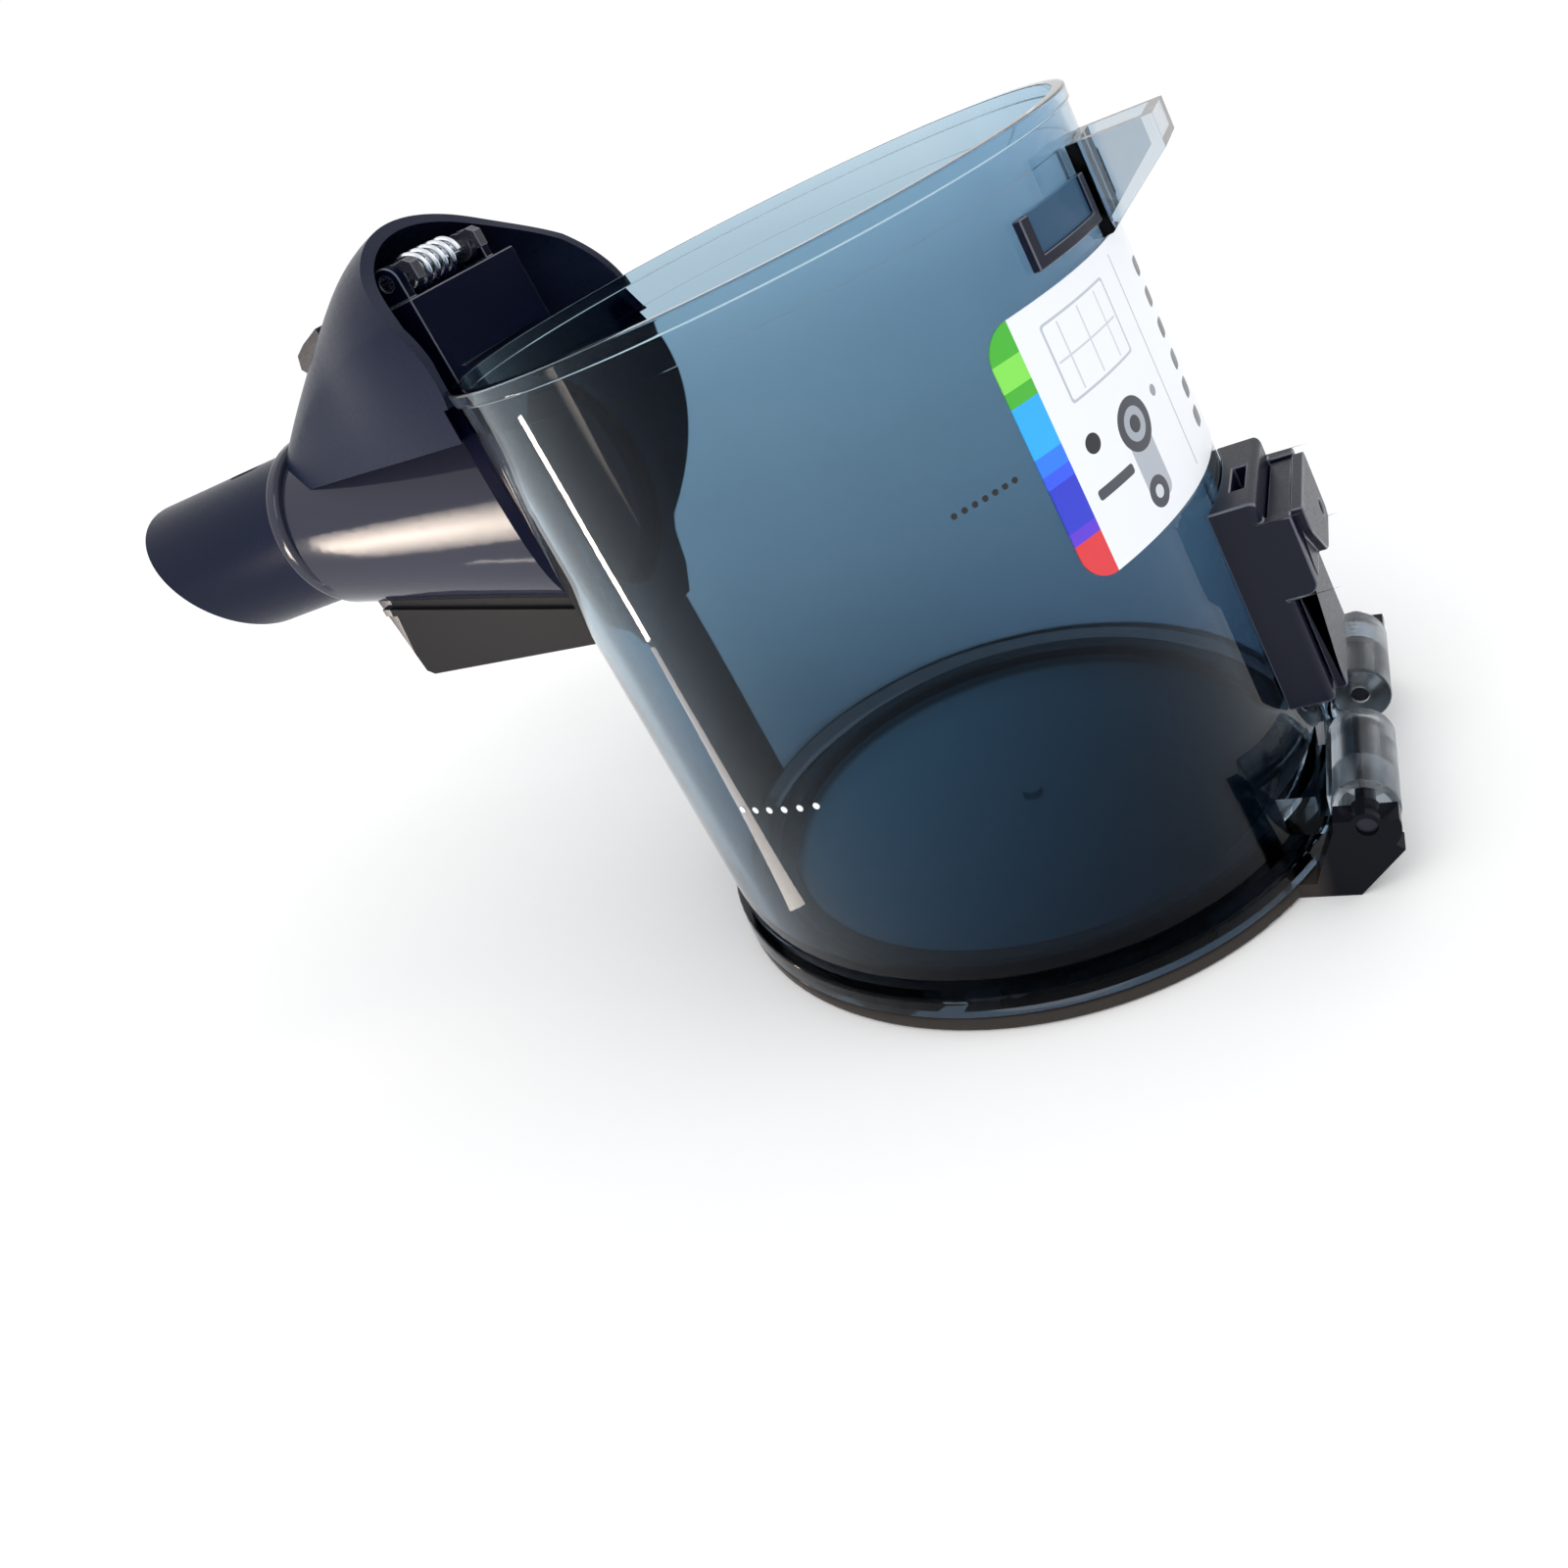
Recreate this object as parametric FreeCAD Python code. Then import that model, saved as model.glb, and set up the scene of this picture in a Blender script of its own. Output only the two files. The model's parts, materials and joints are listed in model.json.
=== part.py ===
import FreeCAD
import Part
import math
import os

V = FreeCAD.Vector

# Millimetres and degrees. The cup's axis leans toward the inlet: pieces drawn upright on
# that axis are turned by lean(). The lid and its hinge lie square to the lid.
LEAN = 8.5
CLEAR = 0.3
SKIN = 0.02
FAR = 600.0

CUP_R = 54.2
CUP_WALL = 2.2
CUP_TOP = 116.0
CUP_BORE_R = CUP_R - CUP_WALL
RIM_REACH = 0.5
RIM_R = CUP_R + RIM_REACH
RIM_H = 2.4
RIM_ROUND = 0.4
RIM_SEAT_CUT = 0.7
RIM_SEAT_R = CUP_BORE_R + RIM_SEAT_CUT
RIM_SEAT_H = 7.0
BASE_Z = 3.0
BASE_REACH = 2.4
BASE_R = CUP_R + BASE_REACH
BASE_H = 3.2
BASE_ROUND = 0.5

LID_INSET = 0.2
LID_R = BASE_R - LID_INSET
LID_T = 2.4
LID_ROUND = 0.8
SEAL_W = 4.0
SEAL_FLOOR = 1.5
SEAL_TOP = 6.8
SEAL_SWING = 3.6
SEAL_R = CUP_BORE_R - SEAL_SWING
SEAL_SKIN = 0.8
SEAL_HEM = 2.4
COLLAR_WALL = 1.8
NUB_R = 1.8
NUB_H = 1.4
NOSE_REACH = 2.1
NOSE_HALF = 3.7
NOSE_SLIT = 1.7

HINGE_X = CUP_R + 5.0
HINGE_Z = 12.2
KNUCKLE_R = 5.0
KNUCKLE_Y0 = 5.5
KNUCKLE_L = 20.0
KNUCKLE_Y1 = KNUCKLE_Y0 + KNUCKLE_L
HOLLOW_R = 3.9
HOLLOW_L = 8.0
GROOVE_W = 1.6
PIN_R = 1.5
PIN_SHY = 0.6
EAR_T = 4.0
EAR_GAP = 0.4
EAR_Y0 = KNUCKLE_Y1 + EAR_GAP
EAR_TOP = 1.2
EAR_BORE_R = PIN_R + 0.06
HINGE_COIL_R = 2.6
HINGE_WIRE_R = 0.45

INLET_DROP = 17.0
INLET_Z = CUP_TOP - INLET_DROP
INLET_REACH = 55.8
TUBE_R = 15.8
TUBE_BORE_R = 13.6
TUBE_L = 41.0
TUBE_SLANT = 30.0
TUBE_RELIEF = 0.5
SPIGOT_R = 15.0
SPIGOT_L = 7.5
SLOT_R = 1.9
SLOT_L = 5.0
SLOT_FROM_RING = 17.0
RING_R = 17.7
RING_W = 3.6
RING_ROUND = 1.2
DUCT_R = 16.8
DUCT_WALL = 2.4
DUCT_INTO = 10.2
DUCT_END_DROP = 31.0
DUCT_END_HALF_Y = 17.5
DUCT_END_HALF_Z = 24.5
FIN_HALF = 9.0
FIN_REACH = 49.8
FIN_DEPTH = 35.0
FIN_RISE = 5.4
LEDGE = 1.1

FLANGE_R = 32.5
FLANGE_T = 2.2
NECK_HALF = 13.5
NECK_DROP = 59.0
SPINE_HALF = 9.0
SPINE_T = 2.0
HOOK_HALF = 5.0
HOOK_T = 2.1
HOOK_TOP = 15.5
GASKET_T = 0.8
GASKET_W = 1.6

HOOD_WALL = 2.2
HOOD_FOOT_DROP = 8.0
HOOD_FLOOR_T = 2.0
AXLE_OUT = 4.3
AXLE_UP = 18.6
AXLE_R = 1.3
AXLE_HALF = 13.6
LEVER_BORE_R = AXLE_R + 0.06
ARM_HALF = 4.6
ARM_BEND = 26.0
ARM_TIP = 32.3
BUTTON_TIP = ARM_TIP + 2.8
WINDOW_GAP = 0.8
HUB_R = 2.7
HUB_Y0 = 9.0
HUB_T = 2.4
BEARING_GAP = 0.2
BEARING_T = 2.2
CARRIER_HALF = 17.0
CARRIER_WALL = 1.8
RELEASE_COIL_R = 2.9
RELEASE_WIRE_R = 0.6

LOCK_HALF = 13.0
LOCK_Z0 = 14.8
LOCK_Z1 = 50.6
LOCK_DEPTH = 5.8
LOCK_X = CUP_R + LOCK_DEPTH
CHEEK_REACH = 4.2
CHEEK_X = LOCK_X + CHEEK_REACH
CHEEK_Z0 = 33.4
CHEEK_Z1 = 46.8
CHEEK_T = 2.2
SLIDER_T = 1.9
SLIDER_Z0 = 15.2
SLIDER_Z1 = 46.2
PAD_Z0 = 35.2
LOCK_COIL_R = 1.55
LOCK_WIRE_R = 0.35
LOCK_SCREW_R = 1.2
LOCK_SCREW_Y = 8.5
LOCK_SCREW_Z = 44.0
LOCK_SCREW_TIP = LOCK_X - 2.6

LUG_HALF = 7.0
LUG_REACH = 12.4
LUG_WALL = 1.8
CATCH_GAP = 0.87
CATCH_W = 19.2
CATCH_ANGLE = math.degrees(math.asin((LUG_HALF + CATCH_GAP + CATCH_W / 2) / CUP_R))
CATCH_H = 7.6
CATCH_DROP = 18.6
CATCH_BAR = 1.8
CATCH_T = 1.5
PANEL_T = 1.0

LABEL_FROM = -42.5
LABEL_TO = 20.0
LABEL_DROP = 21.6
LABEL_H = 39.2
LABEL_Z1 = CUP_TOP - LABEL_DROP
LABEL_Z0 = LABEL_Z1 - LABEL_H
LABEL_T = 0.2
LABEL_LIFT = 0.06
LABEL_ROUND = 5.0
MARK_T = 0.12


def out(reach):
    """Place on the inlet side, as reach out from the cup's wall."""
    return -(CUP_R + reach)


def up(height):
    """Height above the cup's rim."""
    return CUP_TOP + height


AXLE_X = out(AXLE_OUT)
AXLE_Z = up(AXLE_UP)

# Cross sections of the hood: reach out from the cup's wall, half width at the foot, half width
# at the shoulder, then shoulder and crown as heights above the rim.
HOOD = [
    (57.8, 9.5, 8.2, -6.4, -4.0),
    (45.8, 12.8, 10.4, -0.6, 6.2),
    (33.8, 17.2, 14.4, 5.4, 14.3),
    (21.8, 22.0, 19.0, 9.0, 22.0),
    (9.8, 27.0, 24.8, 11.0, 27.4),
    (-0.2, 31.0, 28.2, 12.0, 28.8),
    (-12.2, 35.6, 31.0, 12.4, 29.2),
]
# Edge of the hood's open mouth, seen from the side: reach out and height above the rim.
MOUTH = [(-9.8, -3.0), (-9.8, -0.7), (-7.4, 7.5), (-4.3, 12.3), (-0.1, 17.1), (3.6, 21.5), (5.5, 24.5),
         (8.3, 29.0), (11.0, 36.0)]


def box(x0, x1, y0, y1, z0, z1):
    return Part.makeBox(x1 - x0, y1 - y0, z1 - z0, V(x0, y0, z0))


def cyl(r, p, d, h):
    return Part.makeCylinder(r, h, V(*p), V(*d))


def upright(r, z0, z1):
    return cyl(r, (0, 0, z0), (0, 0, 1), z1 - z0)


def lean(shape):
    turned = shape.copy()
    turned.rotate(V(0, 0, 0), V(0, 1, 0), -LEAN)
    return turned


def prism_xz(points, y0, y1):
    wire = Part.makePolygon([V(x, y0, z) for x, z in points + [points[0]]])
    return Part.Face(wire).extrude(V(0, y1 - y0, 0))


def prism_yz(points, x0, x1):
    wire = Part.makePolygon([V(x0, y, z) for y, z in points + [points[0]]])
    return Part.Face(wire).extrude(V(x1 - x0, 0, 0))


def shell(r0, r1, z0, z1):
    return upright(r1, z0, z1).cut(upright(r0, z0 - 1, z1 + 1))


def turned_profile(points):
    wire = Part.makePolygon([V(r, 0, z) for r, z in points + [points[0]]])
    return Part.Face(wire).revolve(V(0, 0, 0), V(0, 0, 1), 360)


def soften(shape, radius, test):
    found = [e for e in shape.Edges if test(e)]
    if not found:
        return shape
    try:
        rounded = shape.makeFillet(radius, found)
    except Exception:
        return shape
    return rounded if rounded.isValid() else shape


def single(shape):
    return max(shape.Solids, key=lambda s: s.Volume)


def oval_wire(x, cz, half_y, half_z):
    count = 28
    points = []
    for i in range(count):
        t = 2 * math.pi * i / count
        points.append(V(x, half_y * math.cos(t), cz + half_z * math.sin(t)))
    curve = Part.BSplineCurve()
    curve.interpolate(points, PeriodicFlag=True)
    return Part.Wire([curve.toShape()])


def duct_body(inset):
    """The duct's loft from a circle at the ring to an upright oval inside the cup's wall."""
    r0 = DUCT_R - inset
    x0 = out(INLET_REACH)
    x1 = out(-DUCT_INTO)
    drop = INLET_DROP - DUCT_END_DROP
    wires = []
    for t, u in ((-0.06, 0.0), (0.5, 0.5), (1.0, 1.0)):
        half_y = r0 + (DUCT_END_HALF_Y - inset - r0) * u
        half_z = r0 + (DUCT_END_HALF_Z - inset - r0) * u
        wires.append(oval_wire(x0 + (x1 - x0) * t, INLET_Z + drop * u, half_y, half_z))
    return Part.makeLoft(wires, True, False)


def hood_wire(row, inset, foot):
    reach, w, s, shoulder, crown = row
    x = out(reach)
    w = w - inset
    s = s - inset
    crown = up(crown) - inset
    shoulder = up(shoulder) - inset * 0.4
    a = V(x, -w, foot)
    b = V(x, -s, shoulder)
    c = V(x, 0, crown)
    d = V(x, s, shoulder)
    e = V(x, w, foot)
    arc = Part.Arc(b, c, d).toShape()
    return Part.Wire([Part.makeLine(a, b), arc, Part.makeLine(d, e), Part.makeLine(e, a)])


def hood_body(inset, foot, rows):
    return Part.makeLoft([hood_wire(row, inset, foot) for row in rows], True, False)


def hood_inside(inset):
    """The hood's cavity, which starts one section behind its nose."""
    foot = up(-HOOD_FOOT_DROP) + HOOD_FLOOR_T
    return hood_body(inset, foot, HOOD[1:])


def wall_pad(r0, r1, outline):
    """Plate wrapped on the inlet side of the cup, cut from the outline's prism."""
    return single(shell(r0, r1, -CUP_TOP, 2 * CUP_TOP).common(outline))


def coil(mean_r, wire_r, pitch, turns, base, axis):
    spine = Part.makeHelix(pitch, pitch * turns, mean_r)
    circle = Part.makeCircle(wire_r, V(mean_r, 0, 0), V(0, 1, pitch / (2 * math.pi * mean_r)))
    solid = Part.Wire(spine.Edges).makePipeShell([Part.Wire([circle])], True, True)
    if solid.Volume < 0:
        solid.reverse()
    solid.Placement = FreeCAD.Placement(V(*base), FreeCAD.Rotation(V(0, 0, 1), V(*axis)))
    return solid


def lug_outline(wall):
    top = up(-7.6)
    tip = CUP_R + LUG_REACH - wall
    return [(CUP_R - 1.2, top - 13.8 + wall), (CUP_R + 1.2, top - 13.6 + wall), (tip, top - 5.2 + wall * 0.6),
            (tip, top), (CUP_R - 1.2, top + 0.6)]


def catch_blank(side, r0, r1, half, z0, z1):
    block = box(0, FAR, -half, half, z0, z1)
    block.rotate(V(0, 0, 0), V(0, 0, 1), side * CATCH_ANGLE)
    return shell(r0, r1, z0 - 1, z1 + 1).common(block)


def build_cup():
    body = upright(CUP_R, -CUP_R, CUP_TOP - RIM_ROUND)
    bead = upright(RIM_R, CUP_TOP - RIM_H, CUP_TOP)
    bead = soften(bead, RIM_ROUND, lambda e: abs(e.Length - 2 * math.pi * RIM_R) < 1)
    body = body.fuse(bead)
    # Wedge lug under the rim, open on top.
    lug = prism_xz(lug_outline(0.0), -LUG_HALF, LUG_HALF)
    inner = lug_outline(LUG_WALL)
    pocket = prism_xz(inner[1:4] + [(inner[3][0], up(-2)), (inner[1][0], up(-2))], -LUG_HALF + LUG_WALL,
                      LUG_HALF - LUG_WALL)
    body = body.fuse(lug.cut(pocket))
    body = lean(body)
    body = body.cut(box(-FAR, FAR, -FAR, FAR, -FAR, BASE_Z))
    flange = upright(BASE_R, BASE_Z, BASE_Z + BASE_H)
    flange = soften(flange, BASE_ROUND, lambda e: abs(e.CenterOfMass.z - BASE_Z - BASE_H) < SKIN
                    and e.Length > CUP_R)
    body = body.fuse(flange)
    # Two hollow hinge knuckles on short necks, with a groove between neck and knuckle.
    groove_x = HINGE_X - KNUCKLE_R - 0.2
    for side in (-1, 1):
        y0 = KNUCKLE_Y0 if side > 0 else -KNUCKLE_Y1
        knuckle = cyl(KNUCKLE_R, (HINGE_X, y0, HINGE_Z), (0, 1, 0), KNUCKLE_L)
        knuckle = soften(knuckle, 0.6, lambda e: e.Length > 2 * math.pi * KNUCKLE_R - 1)
        neck_x = CUP_R - 12.0
        neck = prism_xz([(neck_x, HINGE_Z - 4.4), (HINGE_X, HINGE_Z - 4.4), (HINGE_X, HINGE_Z + 2.4),
                         (neck_x, HINGE_Z + 2.4)], y0 + 0.6, y0 + KNUCKLE_L - 0.6)
        groove = box(groove_x - GROOVE_W, groove_x, y0 - 1, y0 + KNUCKLE_L + 1, HINGE_Z - 1.2, HINGE_Z + 4)
        body = body.fuse(neck.cut(groove).fuse(knuckle))
    body = body.cut(lean(upright(CUP_BORE_R, -CUP_R, 2 * CUP_TOP)))
    body = body.cut(lean(upright(RIM_SEAT_R, CUP_TOP - RIM_SEAT_H, CUP_TOP + RIM_H)))
    body = body.cut(cyl(PIN_R, (HINGE_X, -FAR, HINGE_Z), (0, 1, 0), 2 * FAR))
    for side in (-1, 1):
        start = side * (KNUCKLE_Y1 - HOLLOW_L)
        body = body.cut(cyl(HOLLOW_R, (HINGE_X, start, HINGE_Z), (0, side, 0), 2 * HOLLOW_L))
    body = body.cut(lean(duct_body(DUCT_WALL)))
    for hole in lock_shanks(CUP_BORE_R - 2.0):
        body = body.cut(hole)
    return single(body.removeSplitter())


def lock_shanks(start):
    length = LOCK_SCREW_TIP - start
    return [lean(cyl(LOCK_SCREW_R, (start, side * LOCK_SCREW_Y, LOCK_SCREW_Z), (1, 0, 0), length))
            for side in (-1, 1)]


def build_catches():
    """Black three-sided frames beside the lug, open toward the rim."""
    z1 = up(-CATCH_DROP) + CATCH_H
    z0 = up(-CATCH_DROP)
    half = CATCH_W / 2
    solids = []
    for side in (-1, 1):
        frame = catch_blank(side, CUP_R, CUP_R + CATCH_T, half, z0, z1)
        hole = catch_blank(side, CUP_R - 1, CUP_R + CATCH_T + 1, half - CATCH_BAR, z0 + CATCH_BAR, z1 + 1)
        solids.append(lean(single(frame.cut(hole))))
    return Part.makeCompound(solids)


def build_panels():
    """Smoke panels that fill the two frames."""
    z0 = up(-CATCH_DROP) + CATCH_BAR
    z1 = up(-CATCH_DROP) + CATCH_H
    half = CATCH_W / 2 - CATCH_BAR
    return Part.makeCompound([lean(single(catch_blank(side, CUP_R, CUP_R + PANEL_T, half, z0, z1)))
                              for side in (-1, 1)])


def flange_outline():
    low = out(FLANGE_R)
    disc = cyl(FLANGE_R, (low, 0, INLET_Z), (1, 0, 0), CUP_R)
    disc = disc.common(box(low - 1, 0, -CUP_R, CUP_R, 0, CUP_TOP - RIM_H - 0.1))
    neck_z = up(-NECK_DROP)
    neck = prism_yz([(-NECK_HALF - 3, neck_z + 17), (-NECK_HALF, neck_z + 5), (-NECK_HALF + 3, neck_z),
                     (NECK_HALF - 3, neck_z), (NECK_HALF, neck_z + 5), (NECK_HALF + 3, neck_z + 17)], low, -1)
    return disc.fuse(neck)


def gasket_outline():
    cz = up(-DUCT_END_DROP) - 0.4
    x = out(CUP_R)
    rings = []
    for grow in (2.1, 2.1 - 2 * GASKET_W):
        wire = oval_wire(x, cz, DUCT_END_HALF_Y + grow, DUCT_END_HALF_Z + 0.5 * grow)
        rings.append(Part.Face(wire).extrude(V(CUP_R * 1.6, 0, 0)))
    return rings[0].cut(rings[1])


def build_gasket():
    pad = wall_pad(CUP_R, CUP_R + GASKET_T, gasket_outline())
    return lean(single(pad.cut(duct_body(DUCT_WALL))))


def build_flange():
    pad = wall_pad(CUP_R, CUP_R + FLANGE_T, flange_outline())
    pad = pad.cut(shell(CUP_R - 1, CUP_R + GASKET_T, 0, CUP_TOP).common(gasket_outline()))
    pad = pad.cut(duct_body(DUCT_WALL))
    return lean(single(pad))


def build_spine():
    top = up(-NECK_DROP) - 0.2
    low = BASE_Z - 5.0
    strip = prism_yz([(-SPINE_HALF, low), (SPINE_HALF, low), (SPINE_HALF, top), (-SPINE_HALF, top)],
                     out(CUP_R), -CUP_R * 0.5)
    pad = lean(wall_pad(CUP_R, CUP_R + SPINE_T, strip))
    ledge = BASE_Z + BASE_H
    pad = pad.cut(box(-FAR, 0, -FAR, FAR, -FAR, ledge + SKIN))
    # Snap hook that reaches past the cup's foot to the lid's nose.
    tooth = -(LID_R + NOSE_REACH + CLEAR)
    back = tooth - HOOK_T
    hook = prism_xz([(tooth, 0.5), (back + 0.7, 0.5), (back, 1.2), (back, HOOK_TOP - 6),
                     (back + 2.5, HOOK_TOP), (-CUP_R + 4, HOOK_TOP), (-CUP_R + 4, ledge + 0.4),
                     (tooth - 0.6, ledge + 0.4), (tooth - 0.6, 1.7), (tooth, 1.5)], -HOOK_HALF, HOOK_HALF)
    hook = hook.cut(lean(upright(CUP_R, -CUP_R, CUP_TOP)))
    return single(pad.fuse(hook).removeSplitter())


def build_tube():
    """Tube with an end cut on the slant: its top reaches furthest."""
    x0 = out(INLET_REACH)
    z = INLET_Z
    end = x0 - TUBE_L
    tube = cyl(TUBE_R, (end, 0, z), (1, 0, 0), TUBE_L - TUBE_RELIEF)
    tube = tube.fuse(cyl(SPIGOT_R, (x0 - 1, 0, z), (1, 0, 0), SPIGOT_L + 1))
    tube = tube.cut(cyl(TUBE_BORE_R, (-FAR, 0, z), (1, 0, 0), FAR))
    low = z - 2 * TUBE_R
    run = (z + TUBE_R - low) * math.tan(math.radians(TUBE_SLANT))
    slant = [(end, z + TUBE_R), (end - TUBE_R, z + TUBE_R), (end - TUBE_R, low), (end + run, low)]
    tube = tube.cut(prism_xz(slant, -2 * TUBE_R, 2 * TUBE_R))
    near = x0 - SLOT_FROM_RING
    slot = cyl(SLOT_R, (near, 0, z), (0, 0, 1), TUBE_R + 1)
    slot = slot.fuse(cyl(SLOT_R, (near + SLOT_L, 0, z), (0, 0, 1), TUBE_R + 1))
    slot = slot.fuse(box(near, near + SLOT_L, -SLOT_R, SLOT_R, z, z + TUBE_R + 1))
    return lean(single(tube.cut(slot)))


def build_duct():
    x0 = out(INLET_REACH)
    z = INLET_Z
    body = duct_body(0.0).cut(box(-FAR, x0 + 1.0, -FAR, FAR, -FAR, FAR))
    ring = cyl(RING_R, (x0, 0, z), (1, 0, 0), RING_W)
    ring = soften(ring, RING_ROUND, lambda e: e.Length > 2 * math.pi * RING_R - 1)
    body = body.fuse(ring)
    tip = out(FIN_REACH)
    root = out(-14.2)
    fin_low = INLET_Z - FIN_DEPTH
    fin = prism_xz([(tip, INLET_Z - 15), (tip + 1.4, fin_low + 1.2), (tip + 2.8, fin_low),
                    (root, fin_low - FIN_RISE - 1.6), (root, INLET_Z - 15)], -FIN_HALF, FIN_HALF)
    ledge_z = INLET_Z - 20.1
    bead = prism_xz([(tip + 1, ledge_z), (tip + 1, ledge_z + 1.5), (root - 10, ledge_z - 14.7),
                     (root - 10, ledge_z - 16.3)], -FIN_HALF - LEDGE, FIN_HALF + LEDGE)
    body = body.fuse(fin).fuse(bead)
    body = body.cut(duct_body(DUCT_WALL))
    body = body.cut(cyl(SPIGOT_R, (x0 - 1, 0, z), (1, 0, 0), SPIGOT_L + 1))
    body = body.cut(upright(CUP_R + FLANGE_T, -CUP_R, 2 * CUP_TOP))
    return lean(single(body))


def mouth_cut():
    """Everything on the cup's side of the hood's slanting mouth."""
    points = [V(out(a), -FAR, up(b)) for a, b in MOUTH]
    curve = Part.BSplineCurve()
    curve.interpolate(points[1:])
    first, last = points[0], points[-1]
    far_top = V(0, -FAR, last.z)
    far_low = V(0, -FAR, first.z)
    wire = Part.Wire([Part.makeLine(first, points[1]), curve.toShape(), Part.makeLine(last, far_top),
                      Part.makeLine(far_top, far_low), Part.makeLine(far_low, first)])
    return Part.Face(wire).extrude(V(0, 2 * FAR, 0))


def lever_window():
    x = AXLE_X
    z = AXLE_Z
    half = ARM_HALF + WINDOW_GAP
    far = BUTTON_TIP + 2 * WINDOW_GAP
    near = ARM_BEND - 2 * WINDOW_GAP
    return prism_xz([(x - far, z - 15), (x - far - 0.5, z + 2), (x - near, z + 5), (x - near, z - 12)],
                    -half, half)


def build_hood():
    body = hood_body(0.0, up(-HOOD_FOOT_DROP), HOOD)
    body = body.cut(mouth_cut())
    body = body.cut(hood_inside(HOOD_WALL))
    body = body.cut(duct_body(0.0))
    body = body.cut(upright(CUP_R + FLANGE_T, 0, CUP_TOP - RIM_H))
    body = body.cut(upright(RIM_R + SKIN, CUP_TOP - RIM_H - 0.1, CUP_TOP + SKIN))
    body = body.cut(upright(CUP_R, 0, CUP_TOP + HOOD_FOOT_DROP))
    body = body.cut(lever_window())
    body = body.cut(cyl(RING_R, (out(INLET_REACH) - RING_R, 0, INLET_Z), (1, 0, 0), RING_R + RING_W))
    return lean(single(body))


def build_carrier():
    """Hollow block behind the mouth with two bearings for the lever's axle."""
    front = out(-1.0)
    back = out(16.3)
    low = up(-HOOD_FOOT_DROP)
    top = up(14.8)
    half = CARRIER_HALF
    wall = CARRIER_WALL
    outline = [(back, low), (back, top - 4.3), (back + 8.5, top), (front, top), (front, low)]
    body = prism_xz(outline, -half, half)
    hollow = [(back + wall, low - 5), (back + wall, top - 5.3), (back + 8.5, top - wall),
              (front - wall, top - wall), (front - wall, low - 5)]
    body = body.cut(prism_xz(hollow, -half + wall, half - wall))
    for side in (-1, 1):
        y0 = -half if side < 0 else half - wall
        wing = prism_xz([(back - 15, low), (back - 15, top - 12), (back + 1, top - 4), (back + 1, low)],
                        y0, y0 + wall)
        body = body.fuse(wing)
    inner = HUB_Y0 + HUB_T + BEARING_GAP
    for side in (-1, 1):
        y0 = inner if side > 0 else -inner - BEARING_T
        ear = box(AXLE_X - 2.8, AXLE_X + 2.8, y0, y0 + BEARING_T, top - 1, AXLE_Z)
        body = body.fuse(ear).fuse(cyl(2.8, (AXLE_X, y0, AXLE_Z), (0, 1, 0), BEARING_T))
    body = body.cut(cyl(AXLE_R, (AXLE_X, -FAR, AXLE_Z), (0, 1, 0), 2 * FAR))
    body = body.common(hood_inside(HOOD_WALL + SKIN))
    body = body.cut(duct_body(0.0))
    body = body.cut(upright(RIM_R + CLEAR, 0, CUP_TOP + 1.0))
    body = body.cut(upright(CUP_R + FLANGE_T + SKIN, 0, CUP_TOP - RIM_H))
    return lean(single(body))


def build_axle():
    return lean(cyl(AXLE_R, (AXLE_X, -AXLE_HALF, AXLE_Z), (0, 1, 0), 2 * AXLE_HALF))


def build_lever():
    x = AXLE_X
    z = AXLE_Z
    reach = HUB_Y0 + HUB_T
    body = prism_xz([(x - 4.0, z + 1.2), (x - 4.0, z - 1.8), (x - 6.4, z - 2.6), (x - 6.4, z + 0.6)],
                    -reach, reach)
    for y0 in (-reach, HUB_Y0):
        hub = cyl(HUB_R, (x, y0, z), (0, 1, 0), HUB_T)
        plate = prism_xz([(x - 1.0, z + 1.8), (x - 1.0, z - 1.4), (x - 5.0, z - 2.1), (x - 5.0, z + 1.0)],
                         y0, y0 + HUB_T)
        claw = prism_xz([(x + 0.6, z + 2.4), (x + 0.6, z + 0.6), (x + 3.4, z + 0.2), (x + 3.6, z - 1.6),
                         (x + 4.8, z - 1.6), (x + 4.8, z + 1.6), (x + 3.6, z + 2.6)], y0, y0 + HUB_T)
        body = body.fuse(hub).fuse(plate).fuse(claw)
    bend = x - ARM_BEND
    tip = x - ARM_TIP
    arm = prism_xz([(x - 4.4, z + 1.0), (x - 4.4, z - 1.6), (bend, z - 9.4), (tip, z - 11.4), (tip, z - 9.0),
                    (bend, z - 7.0)], -ARM_HALF, ARM_HALF)
    button = prism_xz([(tip + 0.3, z - 10.6), (x - BUTTON_TIP, z - 6.6), (x - BUTTON_TIP + 1.0, z - 4.0),
                       (tip + 0.8, z - 2.6), (bend - 0.9, z - 1.0), (bend - 0.3, z - 7.6)],
                      -ARM_HALF, ARM_HALF)
    body = body.fuse(arm).fuse(button)
    body = body.cut(cyl(LEVER_BORE_R, (x, -FAR, z), (0, 1, 0), 2 * FAR))
    return lean(single(body.removeSplitter()))


def build_release_spring():
    return lean(coil(RELEASE_COIL_R, RELEASE_WIRE_R, 2.6, 5.0, (AXLE_X, -HUB_Y0 + 1.0, AXLE_Z), (0, 1, 0)))


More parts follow.
